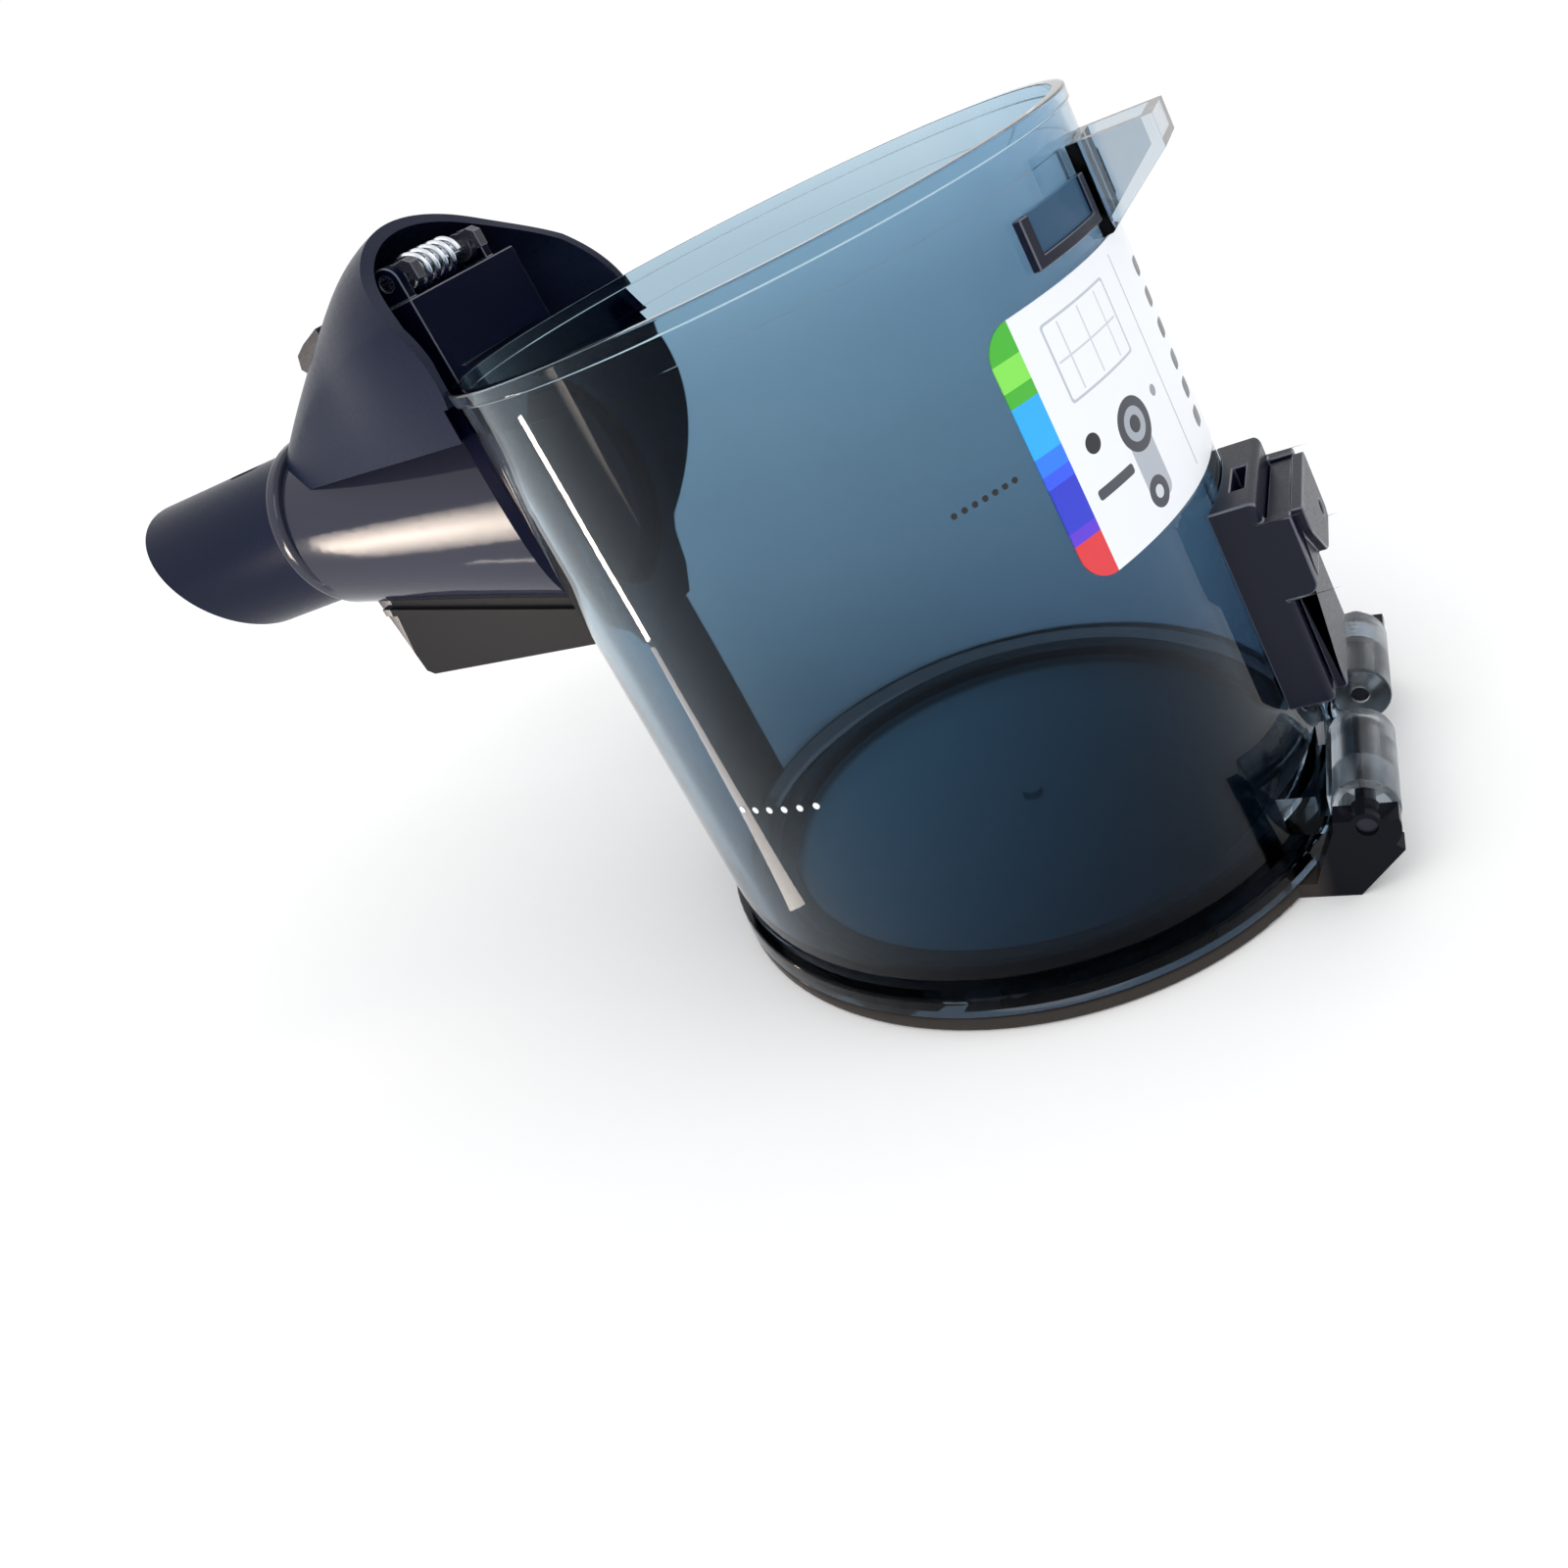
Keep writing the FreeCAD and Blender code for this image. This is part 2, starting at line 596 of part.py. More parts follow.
def build_lock_housing():
    body = box(CUP_R - 4, LOCK_X, -LOCK_HALF, LOCK_HALF, LOCK_Z0, LOCK_Z1)
    body = soften(body, 1.2, lambda e: e.CenterOfMass.x > LOCK_X - SKIN and e.CenterOfMass.z > LOCK_Z0 + 1)
    groove_x = LOCK_X + CLEAR + 0.1
    half = LOCK_HALF - CHEEK_T
    for side in (-1, 1):
        y0 = half if side > 0 else -LOCK_HALF
        cheek = box(LOCK_X - 2.0, CHEEK_X, y0, y0 + CHEEK_T, CHEEK_Z0, CHEEK_Z1)
        cheek = soften(cheek, 2.0, lambda e: abs(e.CenterOfMass.x - CHEEK_X) < SKIN
                       and abs(e.CenterOfMass.z - CHEEK_Z0) < SKIN)
        body = body.fuse(cheek)
    body = body.cut(box(groove_x, groove_x + 1.6, -half - 1.4, half + 1.4, CHEEK_Z0 - 4, CHEEK_Z1 - 1.6))
    body = body.cut(box(LOCK_X - 4.1, LOCK_X + 1, -2.7, 2.7, LOCK_Z0 + 2.2, PAD_Z0 + 3.4))
    body = body.cut(box(LOCK_X - 3.9, LOCK_X - 1.8, -6.4, 2.4, LOCK_Z1 - 4.0, LOCK_Z1 + 2))
    body = body.cut(upright(CUP_R, -CUP_R, CUP_TOP))
    body = lean(body)
    for hole in lock_shanks(CUP_BORE_R - 2.0):
        body = body.cut(hole)
    return single(body.removeSplitter())


def build_slider():
    half = LOCK_HALF - CHEEK_T - CLEAR
    x0 = LOCK_X + CLEAR
    x1 = x0 + SLIDER_T
    x2 = CHEEK_X + 0.2
    body = box(x0, x1, -half, half, SLIDER_Z0, SLIDER_Z1)
    body = soften(body, 0.8,
                  lambda e: abs(e.CenterOfMass.x - x1) < SKIN and abs(e.CenterOfMass.z - SLIDER_Z0) < SKIN)
    pad = prism_xz([(x0, PAD_Z0 - 3), (x1, PAD_Z0 - 3), (x2, PAD_Z0), (x2, SLIDER_Z1), (x0, SLIDER_Z1)],
                   -half, half)
    tab = prism_yz([(half, SLIDER_Z1 + 0.4), (half, PAD_Z0 + 1.0), (half - 1.4, PAD_Z0 - 0.4),
                    (-1.6, PAD_Z0 - 0.4), (-3.4, PAD_Z0 + 0.2), (-half + 0.6, PAD_Z0 + 6.6),
                    (-half, PAD_Z0 + 7.8), (-half, SLIDER_Z1 + 0.4)], x2 - 0.5, x2 + 1.5)
    body = body.fuse(pad).fuse(tab)
    body = body.cut(cyl(1.3, (x2 - 2.2, 6.2, PAD_Z0 + 3.0), (1, 0, 0), FAR))
    tongue = box(x0 + 0.4, x0 + 1.4, -half - CLEAR - 1.0, half + CLEAR + 1.0, PAD_Z0, CHEEK_Z1 - 2.4)
    peg = box(LOCK_X - 3.5, x0 + 0.2, -2.3, 2.3, PAD_Z0 - 2.0, PAD_Z0 + 2.4)
    return lean(single(body.fuse(tongue).fuse(peg).removeSplitter()))


def build_lock_spring():
    return lean(coil(LOCK_COIL_R, LOCK_WIRE_R, 2.2, 6.5, (LOCK_X - 1.8, 0, LOCK_Z0 + 2.9), (0, 0, 1)))


def build_lid():
    body = upright(LID_R, 0, LID_T)
    body = soften(body, LID_ROUND, lambda e: e.Length > CUP_R)
    collar_r = SEAL_R - SEAL_SKIN
    collar = shell(collar_r - COLLAR_WALL, collar_r, LID_T - 0.5, SEAL_TOP - 1.0)
    nub = upright(NUB_R, LID_T - 0.4, LID_T + NUB_H)
    body = body.fuse(collar).fuse(nub)
    # Ears outside the two knuckles, open above the pins.
    for side in (-1, 1):
        y0 = EAR_Y0 if side > 0 else -EAR_Y0 - EAR_T
        root = CUP_R - 14.2
        arm = prism_xz([(root, 0.0), (LID_R, 0.0), (HINGE_X + 4.6, HINGE_Z - 4.4), (HINGE_X, HINGE_Z),
                        (HINGE_X - 4.7, HINGE_Z), (BASE_R - 5.2, BASE_Z + 2), (BASE_R - 6.2, LID_T),
                        (root, LID_T)],
                       y0, y0 + EAR_T)
        ear = cyl(KNUCKLE_R - 0.2, (HINGE_X, y0, HINGE_Z), (0, 1, 0), EAR_T)
        ear = ear.cut(box(HINGE_X - FAR, HINGE_X + FAR, -FAR, FAR, HINGE_Z + EAR_TOP, FAR))
        cap = cyl(PIN_R + 0.9, (HINGE_X, y0, HINGE_Z), (0, 1, 0), EAR_T)
        body = body.fuse(arm.fuse(ear).fuse(cap))
    nose = prism_xz([(-LID_R + 4.4, 0.5), (-LID_R - 0.6, 0.5), (-LID_R - NOSE_REACH, 1.7),
                     (-LID_R - NOSE_REACH, LID_T - 0.1), (-LID_R + 4.4, LID_T - 0.1)], -NOSE_HALF, NOSE_HALF)
    body = body.fuse(nose)
    body = body.cut(shell(CUP_R - SEAL_W, CUP_R, SEAL_FLOOR, BASE_Z + BASE_H))
    for y0 in (-NOSE_HALF - NOSE_SLIT, NOSE_HALF):
        body = body.cut(box(-FAR, -LID_R - 0.3, y0, y0 + NOSE_SLIT, -1, BASE_Z))
    body = body.cut(cyl(EAR_BORE_R, (HINGE_X, -FAR, HINGE_Z), (0, 1, 0), 2 * FAR))
    return single(body.removeSplitter())


def build_seal():
    """Rubber ring: a flat lip under the cup's foot, drawn up over the lid's collar."""
    lip_r = CUP_R - SEAL_W
    collar_r = SEAL_R - SEAL_SKIN
    collar_in = collar_r - COLLAR_WALL
    brow = SEAL_TOP - 1.0
    inner = collar_in - SEAL_SKIN
    profile = [(lip_r, SEAL_FLOOR), (CUP_R, SEAL_FLOOR), (CUP_R, BASE_Z), (SEAL_R, BASE_Z),
               (SEAL_R, SEAL_TOP - 0.5), (SEAL_R - 0.5, SEAL_TOP), (inner + 0.5, SEAL_TOP),
               (inner, SEAL_TOP - 0.5), (inner, SEAL_TOP - SEAL_HEM), (collar_in, SEAL_TOP - SEAL_HEM),
               (collar_in, brow), (collar_r, brow), (collar_r, LID_T), (lip_r, LID_T)]
    return turned_profile(profile)


def build_pins():
    """One pin for each knuckle, from the ear's outside to just short of the knuckle's inner end."""
    y1 = EAR_Y0 + EAR_T - PIN_SHY
    y0 = KNUCKLE_Y0 + PIN_SHY
    return Part.makeCompound([cyl(PIN_R, (HINGE_X, side * y0, HINGE_Z), (0, side, 0), y1 - y0)
                              for side in (-1, 1)])


def build_hinge_spring():
    return coil(HINGE_COIL_R, HINGE_WIRE_R, 1.4, 4.0, (HINGE_X, KNUCKLE_Y1 - HOLLOW_L + 0.7, HINGE_Z),
                (0, 1, 0))


def build_lock_screws():
    return Part.makeCompound(lock_shanks(CUP_BORE_R - 0.6))


def build_label():
    reach = 2 * CUP_R
    half = math.radians(0.5 * (LABEL_TO - LABEL_FROM))
    wire = Part.makePolygon([V(0, 0, LABEL_Z0), V(reach, -reach * math.tan(half), LABEL_Z0),
                             V(reach, reach * math.tan(half), LABEL_Z0), V(0, 0, LABEL_Z0)])
    wedge = Part.Face(wire).extrude(V(0, 0, LABEL_Z1 - LABEL_Z0))
    wedge.rotate(V(0, 0, 0), V(0, 0, 1), 0.5 * (LABEL_FROM + LABEL_TO))
    film = shell(CUP_R + LABEL_LIFT, CUP_R + LABEL_LIFT + LABEL_T, LABEL_Z0, LABEL_Z1).common(wedge)
    film = soften(film, LABEL_ROUND, lambda e: e.Length < 1.5 * LABEL_T)
    return lean(single(film))


# Printed rows of dots: first angle, last angle, step, height and dot radius.
MARK_ROWS = [(-56.8, -46.48, 1.72, 75.0, 0.45), (-112.6, -96.5, 3.22, 42.2, 0.55)]


def build_marks():
    solids = []
    for first, last, step, z, r in MARK_ROWS:
        for k in range(round((last - first) / step) + 1):
            a = math.radians(first + step * k)
            d = (math.cos(a), math.sin(a), 0)
            disc = cyl(r, (0, 0, z), d, 2 * CUP_R).common(shell(CUP_R, CUP_R + MARK_T, z - 3, z + 3))
            solids.append(lean(single(disc)))
    return Part.makeCompound(solids)


PARTS = [
    ("dust_cup", build_cup),
    ("rim_catches", build_catches),
    ("catch_panels", build_panels),
    ("inlet_tube", build_tube),
    ("inlet_duct", build_duct),
    ("inlet_flange", build_flange),
    ("flange_gasket", build_gasket),
    ("front_spine", build_spine),
    ("scoop_shell", build_hood),
    ("lever_carrier", build_carrier),
    ("lever_axle", build_axle),
    ("release_lever", build_lever),
    ("release_spring", build_release_spring),
    ("lock_housing", build_lock_housing),
    ("lock_screws", build_lock_screws),
    ("lock_slider", build_slider),
    ("lock_spring", build_lock_spring),
    ("lid_dish", build_lid),
    ("lid_seal", build_seal),
    ("hinge_pins", build_pins),
    ("hinge_spring", build_hinge_spring),
    ("label", build_label),
    ("fill_marks", build_marks),
]

os.makedirs("parts", exist_ok=True)
for node, make in PARTS:
    shape = make()
    print(node, "valid" if shape.isValid() else "NOT VALID", len(shape.Solids), round(shape.Volume, 1))
    shape.exportStep(os.path.join("parts", node + ".step"))
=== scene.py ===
import json
import math

import bmesh
import bpy
import numpy as np
from mathutils import Matrix, Vector


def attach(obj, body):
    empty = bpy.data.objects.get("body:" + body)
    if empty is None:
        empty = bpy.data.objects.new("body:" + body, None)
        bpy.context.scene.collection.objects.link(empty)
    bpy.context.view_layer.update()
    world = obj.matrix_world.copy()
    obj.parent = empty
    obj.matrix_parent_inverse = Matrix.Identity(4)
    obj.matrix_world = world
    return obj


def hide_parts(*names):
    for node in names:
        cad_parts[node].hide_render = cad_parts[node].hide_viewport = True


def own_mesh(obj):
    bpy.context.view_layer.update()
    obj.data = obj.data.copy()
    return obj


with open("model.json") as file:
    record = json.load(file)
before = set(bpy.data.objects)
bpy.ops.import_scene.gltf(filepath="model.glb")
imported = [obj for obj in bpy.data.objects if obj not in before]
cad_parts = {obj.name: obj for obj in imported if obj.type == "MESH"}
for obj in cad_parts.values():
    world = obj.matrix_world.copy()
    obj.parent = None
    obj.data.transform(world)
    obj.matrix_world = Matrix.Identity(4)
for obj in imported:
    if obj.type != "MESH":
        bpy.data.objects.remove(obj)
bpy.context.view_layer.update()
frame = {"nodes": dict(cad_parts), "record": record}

# Sizes of the dust bin, in metres and degrees. The cup's own axis leans toward the inlet.
MM = 0.001
CUP_LEAN = math.radians(8.5)
CUP_RADIUS = 54.2 * MM
LABEL_UNDER = 0.06 * MM
LABEL_FACE = 0.26 * MM
LABEL_FROM = math.radians(-42.5)
LABEL_TO = math.radians(20.0)
LABEL_FOOT = 55.2 * MM
LABEL_HEAD = 94.4 * MM
LABEL_CORNER = 5.0 * MM
# In label millimetres, as its print is.
LABEL_TALL = 39.2
LABEL_STRIP = 5.0
# How finely the film's mesh follows its width, each rounded corner and the height between the corners.
LABEL_COLUMNS = 97
LABEL_CORNER_ROWS = 14
LABEL_ROWS = 20

# Reach from the cup's axis at which the pale hinge barrels and lug begin, and the frosted barrels' height.
PALE_FROM = 55.0 * MM
PALE_FULL = 56.5 * MM
FROST_FROM = 19.0 * MM
FROST_FULL = 16.0 * MM
# The tint of the cup's wall by height above the floor: the smoke-blue is the plastic's own, and its darkening
# toward the foot is painted shade.
CUP_TINT_AND_SHADE = ((0.0062, "#5a616a"), (0.0085, "#7d93a6"), (0.03, "#8aa2b3"), (0.06, "#93abba"),
            (0.09, "#9bb2c2"), (0.106, "#a8c0cf"), (0.122, "#c6deec"))
# The barrels are frosted, the cup's wall is polished.
FROST = 0.28
POLISH = 0.03
# Painted shade: the wall's tint darkens toward the lock, from the cup's axis out to its wall there.
LOCK_SHADE_FROM = 0.0
LOCK_SHADE_FULL = 40.0 * MM
# Painted shade: the lid's floor darkens across twice this width, from the inlet's side to the hinge's.
LID_SHADE_FADE = 42.0 * MM
# Half width, top and far end of the rib under the duct.
FIN_HALF = 10.3 * MM
FIN_TOP = 76.0 * MM
FIN_TIP = -112.0 * MM
# The height that parts the upper, dark row of dots from the lower, pale one.
DOT_SPLIT = 60.0 * MM
# Radii between which the lid's tone turns to its grey-brown edge, a painted reflection.
LID_EDGE_FROM = 44.0 * MM
LID_EDGE_FULL = 47.0 * MM
# Where the lid's edge turns to its black ears, toward the hinge.
EAR_FROM = 50.0 * MM
EAR_FULL = 53.0 * MM

# The photograph's camera: place, direction, roll and picture numbers of a 1600 pixel frame.
CAMERA_PLACE = Vector((77.0, -206.1, 147.0)) * MM
CAMERA_AZIMUTH = math.radians(24.8)
CAMERA_DIP = math.radians(19.14)
CAMERA_ROLL = math.radians(-19.13)
PICTURE_SIDE = 1600.0
PICTURE_FOCAL = 1411.0
PICTURE_AXIS_X = 849.0
PICTURE_AXIS_Y = 499.0
SENSOR = 36.0
CLIP_NEAR = 0.01
CLIP_FAR = 20.0

# The floor's half side, in metres.
FLOOR_REACH = 9.0

# Faces that meet at less than CREASE shade as one. Faces within FLAT of each other merge before rounding.
CREASE = math.radians(32.0)
FLAT = math.radians(0.5)
MERGE = 0.001 * MM
# Boxy mouldings get a small round along their edges, which catches the light, and a lighter colour there as a
# painted highlight.
ROUNDED = {"lock_housing": 0.3 * MM, "lock_slider": 0.25 * MM, "lever_carrier": 0.25 * MM,
           "release_lever": 0.2 * MM, "rim_catches": 0.2 * MM}
ROUND_STEPS = 2
# Faces that lie right on the cup's wall stand off it by a hair, so that the two don't share one surface.
CONTACT_REACH = 0.03 * MM
CONTACT_GAP = 0.1 * MM


def linear(code):
    """sRGB hex to linear red, green, blue and alpha 1."""
    parts = [int(code[i:i + 2], 16) / 255.0 for i in (1, 3, 5)]
    return tuple(c / 12.92 if c <= 0.04045 else ((c + 0.055) / 1.055) ** 2.4 for c in parts) + (1.0,)


def cup_to_row(points):
    """Turns cup-axis coordinates into the row frame: a turn of minus CUP_LEAN about Y."""
    points = np.asarray(points, dtype=float)
    c, s = math.cos(CUP_LEAN), math.sin(CUP_LEAN)
    x, y, z = points[..., 0], points[..., 1], points[..., 2]
    return np.stack([x * c - z * s, y, x * s + z * c], axis=-1)


def add(tree, kind, links=(), **settings):
    """Adds one node, sets its attributes or its sockets' values, and links (input, socket) pairs."""
    made = tree.nodes.new(kind)
    for name, value in settings.items():
        if hasattr(made, name):
            setattr(made, name, value)
        else:
            made.inputs[name.replace("_", " ")].default_value = value
    for name, socket in links:
        tree.links.new(socket, made.inputs[name])
    return made


def new_material(name):
    material = bpy.data.materials.new(name)
    material.use_nodes = True
    tree = material.node_tree
    tree.nodes.clear()
    return material, tree


def finish_tree(tree, shader):
    out = add(tree, "ShaderNodeOutputMaterial")
    tree.links.new(shader, out.inputs["Surface"])


def ripple(tree, grain, height, detail=2.0):
    """A soft bump from noise on Object coordinates. grain is the ripple's width in metres."""
    place = add(tree, "ShaderNodeTexCoord")
    noise = add(tree, "ShaderNodeTexNoise", [("Vector", place.outputs["Object"])],
                Scale=1.0 / grain, Detail=detail)
    bump = add(tree, "ShaderNodeBump", [("Height", noise.outputs["Fac"])], Strength=1.0, Distance=height)
    return bump.outputs["Normal"], noise.outputs["Fac"]


def spread(tree, factor, low, high):
    """A number that runs from low to high as the noise goes from 0.3 to 0.7."""
    return add(tree, "ShaderNodeMapRange", [("Value", factor)], From_Min=0.3, From_Max=0.7, To_Min=low,
               To_Max=high).outputs["Result"]


def tint_by_height(tree, stops):
    """Colour that runs through the stops (height in metres, hex) up the piece."""
    place = add(tree, "ShaderNodeTexCoord")
    axes = add(tree, "ShaderNodeSeparateXYZ", [("Vector", place.outputs["Object"])])
    low, high = stops[0][0], stops[-1][0]
    span = add(tree, "ShaderNodeMapRange", [("Value", axes.outputs["Z"])], From_Min=low, From_Max=high)
    ramp = add(tree, "ShaderNodeValToRGB", [("Fac", span.outputs["Result"])])
    marks = ramp.color_ramp.elements
    while len(marks) < len(stops):
        marks.new(0.5)
    for mark, (height, code) in zip(marks, stops):
        mark.position = (height - low) / (high - low)
        mark.color = linear(code)
    return ramp.outputs["Color"]


def clear_smoke_polycarbonate():
    """Injection-moulded smoke-blue polycarbonate, polished: sharp lamps in it, faint flow waves, and a tint
    that is pale in the lug and the thin-walled, frosted hinge barrels. The tint darkens toward the foot and
    toward the lock as painted shade."""
    material, tree = new_material("clear smoke polycarbonate")
    normal = ripple(tree, 26.0 * MM, 0.12 * MM, 1.0)[0]
    # Painted shade: the wall's tint darkens toward the foot.
    tall = tint_by_height(tree, CUP_TINT_AND_SHADE)
    place = add(tree, "ShaderNodeTexCoord")
    axes = add(tree, "ShaderNodeSeparateXYZ", [("Vector", place.outputs["Object"])])
    reach = add(tree, "ShaderNodeVectorMath", [(0, place.outputs["Object"])], operation="DOT_PRODUCT")
    reach.inputs[1].default_value = (math.cos(CUP_LEAN), 0.0, math.sin(CUP_LEAN))
    thin = add(tree, "ShaderNodeMapRange", [("Value", reach.outputs["Value"])], From_Min=PALE_FROM,
               From_Max=PALE_FULL)
    # Painted shade: the tint is multiplied darker toward the lock's side.
    deep = add(tree, "ShaderNodeMapRange", [("Value", axes.outputs["X"])], From_Min=LOCK_SHADE_FROM,
               From_Max=LOCK_SHADE_FULL)
    deeper = add(tree, "ShaderNodeMix", [(0, deep.outputs["Result"]), (6, tall)], data_type="RGBA",
                 blend_type="MULTIPLY")
    deeper.inputs[7].default_value = linear("#e2eaf2")
    lighter = add(tree, "ShaderNodeMix", [(0, thin.outputs["Result"]), (6, deeper.outputs[2])],
                  data_type="RGBA")
    lighter.inputs[7].default_value = linear("#cfd7de")
    tint = lighter.outputs[2]
    low = add(tree, "ShaderNodeMapRange", [("Value", axes.outputs["Z"])], From_Min=FROST_FROM,
              From_Max=FROST_FULL)
    barrel = add(tree, "ShaderNodeMath", [(0, thin.outputs["Result"]), (1, low.outputs["Result"])],
                 operation="MULTIPLY")
    frost = add(tree, "ShaderNodeMapRange", [("Value", barrel.outputs[0])], To_Min=POLISH, To_Max=FROST)
    body = add(tree, "ShaderNodeBsdfPrincipled", [("Normal", normal), ("Base Color", tint),
                                                  ("Roughness", frost.outputs["Result"])],
               IOR=1.5, Transmission_Weight=1.0, Specular_Tint=linear("#5b6069"))
    path = add(tree, "ShaderNodeLightPath")
    clear = add(tree, "ShaderNodeBsdfTransparent", [("Color", tint)])
    mix = add(tree, "ShaderNodeMixShader", [(0, path.outputs["Is Shadow Ray"]), (1, body.outputs[0]),
                                            (2, clear.outputs[0])])
    finish_tree(tree, mix.outputs[0])
    return material


def black_abs():
    """High-gloss black ABS straight from a polished mould: deep, with a faint waviness in its reflections.
    The rib under the duct, inside FIN_HALF, FIN_TOP and FIN_TIP, is left matt, and it is painted darker there
    as painted shade."""
    material, tree = new_material("gloss black abs")
    normal = ripple(tree, 14.0 * MM, 0.03 * MM, 1.0)[0]
    place = add(tree, "ShaderNodeTexCoord")
    axes = add(tree, "ShaderNodeSeparateXYZ", [("Vector", place.outputs["Object"])])
    sideways = add(tree, "ShaderNodeMath", [(0, axes.outputs["Y"])], operation="ABSOLUTE")
    thin = add(tree, "ShaderNodeMath", [(0, sideways.outputs[0])], operation="LESS_THAN")
    thin.inputs[1].default_value = FIN_HALF
    low = add(tree, "ShaderNodeMath", [(0, axes.outputs["Z"])], operation="LESS_THAN")
    low.inputs[1].default_value = FIN_TOP
    near = add(tree, "ShaderNodeMath", [(0, axes.outputs["X"])], operation="GREATER_THAN")
    near.inputs[1].default_value = FIN_TIP
    level = add(tree, "ShaderNodeMath", [(0, thin.outputs[0]), (1, low.outputs[0])], operation="MULTIPLY")
    fin = add(tree, "ShaderNodeMath", [(0, level.outputs[0]), (1, near.outputs[0])], operation="MULTIPLY")
    polish = add(tree, "ShaderNodeMapRange", [("Value", fin.outputs[0])], To_Min=0.09, To_Max=0.7)
    # Painted shade: the rib under the duct is coloured darker than the rest of the moulding.
    tone = add(tree, "ShaderNodeMix", [(0, fin.outputs[0])], data_type="RGBA")
    tone.inputs[6].default_value = linear("#282b3a")
    tone.inputs[7].default_value = linear("#080a12")
    body = add(tree, "ShaderNodeBsdfPrincipled", [("Normal", normal), ("Roughness", polish.outputs["Result"]),
                                                  ("Base Color", tone.outputs[2])],
               IOR=1.53, Specular_IOR_Level=0.3)
    finish_tree(tree, body.outputs[0])
    return material


def grained(name, grain, height, detail, rough, **settings):
    """One plain finish: a grain of the given width and height in metres, roughness that wanders with it
    between the two values of rough, and the shader's own settings."""
    material, tree = new_material(name)
    normal, wave = ripple(tree, grain, height, detail)
    links = [("Normal", normal), ("Roughness", spread(tree, wave, *rough))]
    body = add(tree, "ShaderNodeBsdfPrincipled", links, **settings)
    finish_tree(tree, body.outputs[0])
    return material


def satin_abs():
    """Spark-eroded black ABS: a fine even grain that spreads the highlights."""
    return grained("satin black abs", 0.6 * MM, 0.01 * MM, 3.0, (0.3, 0.4), Base_Color=linear("#0c1124"),
                   IOR=1.53, Specular_IOR_Level=0.2)


def hood_abs():
    """Black ABS with a fine spark texture that greys its steep sides, as on the hood and the tube."""
    return grained("fine textured black abs", 0.9 * MM, 0.006 * MM, 3.0, (0.26, 0.32),
                   Base_Color=linear("#161c30"), IOR=1.5, Specular_IOR_Level=0.07)


def shaded_abs():
    """Etched black ABS of faces that lie on the cup or inside the hood: deep navy black, hardly any shine,
    darker than the other black mouldings as painted shade.
    """
    return grained("etched black abs in painted shade", 1.2 * MM, 0.01 * MM, 2.0, (0.4, 0.5), Base_Color=linear("#050a20"),
                   IOR=1.5, Specular_IOR_Level=0.02)


def lever_acetal():
    """Dark acetal of the sprung lever: slippery, with a grey sheen, partly real reflection and partly painted
    into its lighter base colour.
    """
    return grained("dark acetal", 2.0 * MM, 0.01 * MM, 2.0, (0.24, 0.32), Base_Color=linear("#2a2c34"),
                   IOR=1.48, Specular_IOR_Level=0.3)


def painted_edge_highlight():
    """Edges of the black mouldings: a lighter grey base colour, a painted highlight, and a stronger
    reflection give them a thin grey line of light.
    """
    return grained("black edge with painted highlight", 3.0 * MM, 0.01 * MM, 2.0, (0.14, 0.24),
                   Base_Color=linear("#4a4e5c"), IOR=1.53, Specular_IOR_Level=0.6)


def tinted_lid_plastic():
    """Dark smoke polycarbonate, thick enough to read as slate: glossy, darker toward the hinge as painted
    shade, with a grey-brown edge that is a painted reflection, and black ears."""
    material, tree = new_material("dark smoke polycarbonate")
    normal, wave = ripple(tree, 22.0 * MM, 0.03 * MM, 1.0)
    place = add(tree, "ShaderNodeTexCoord")
    axes = add(tree, "ShaderNodeSeparateXYZ", [("Vector", place.outputs["Object"])])
    # Painted light and shade: the lid's floor is light toward the inlet and dark toward the hinge.
    across = add(tree, "ShaderNodeMapRange", [("Value", axes.outputs["X"])], From_Min=-LID_SHADE_FADE,
                 From_Max=LID_SHADE_FADE)
    side_shade = add(tree, "ShaderNodeMix", [(0, across.outputs["Result"])], data_type="RGBA")
    side_shade.inputs[6].default_value = linear("#7a9cae")
    side_shade.inputs[7].default_value = linear("#0c1220")
    level = add(tree, "ShaderNodeVectorMath", [(0, place.outputs["Object"])], operation="MULTIPLY")
    level.inputs[1].default_value = (1.0, 1.0, 0.0)
    radius = add(tree, "ShaderNodeVectorMath", [(0, level.outputs[0])], operation="LENGTH")
    # Painted reflection: the lid's edge turns grey-brown.
    outer = add(tree, "ShaderNodeMapRange", [("Value", radius.outputs["Value"])], From_Min=LID_EDGE_FROM,
                From_Max=LID_EDGE_FULL)
    tone = add(tree, "ShaderNodeMix", [(0, outer.outputs["Result"]), (6, side_shade.outputs[2])], data_type="RGBA")
    tone.inputs[7].default_value = linear("#3a3634")
    ear = add(tree, "ShaderNodeMapRange", [("Value", axes.outputs["X"])], From_Min=EAR_FROM,
              From_Max=EAR_FULL)
    eared = add(tree, "ShaderNodeMix", [(0, ear.outputs["Result"]), (6, tone.outputs[2])], data_type="RGBA")
    eared.inputs[7].default_value = linear("#14151b")
    rough = spread(tree, wave, 0.1, 0.14)
    body = add(tree, "ShaderNodeBsdfPrincipled", [("Normal", normal), ("Roughness", rough),
                                                  ("Base Color", eared.outputs[2])],
               IOR=1.5, Specular_IOR_Level=0.06)
    finish_tree(tree, body.outputs[0])
    return material


def smoke_window():
    """Thin smoke polycarbonate of the two catch windows, slate blue over the cup's own wall."""
    return grained("slate polycarbonate", 8.0 * MM, 0.02 * MM, 1.0, (0.12, 0.18),
                   Base_Color=linear("#33506b"), IOR=1.5, Specular_IOR_Level=0.1)


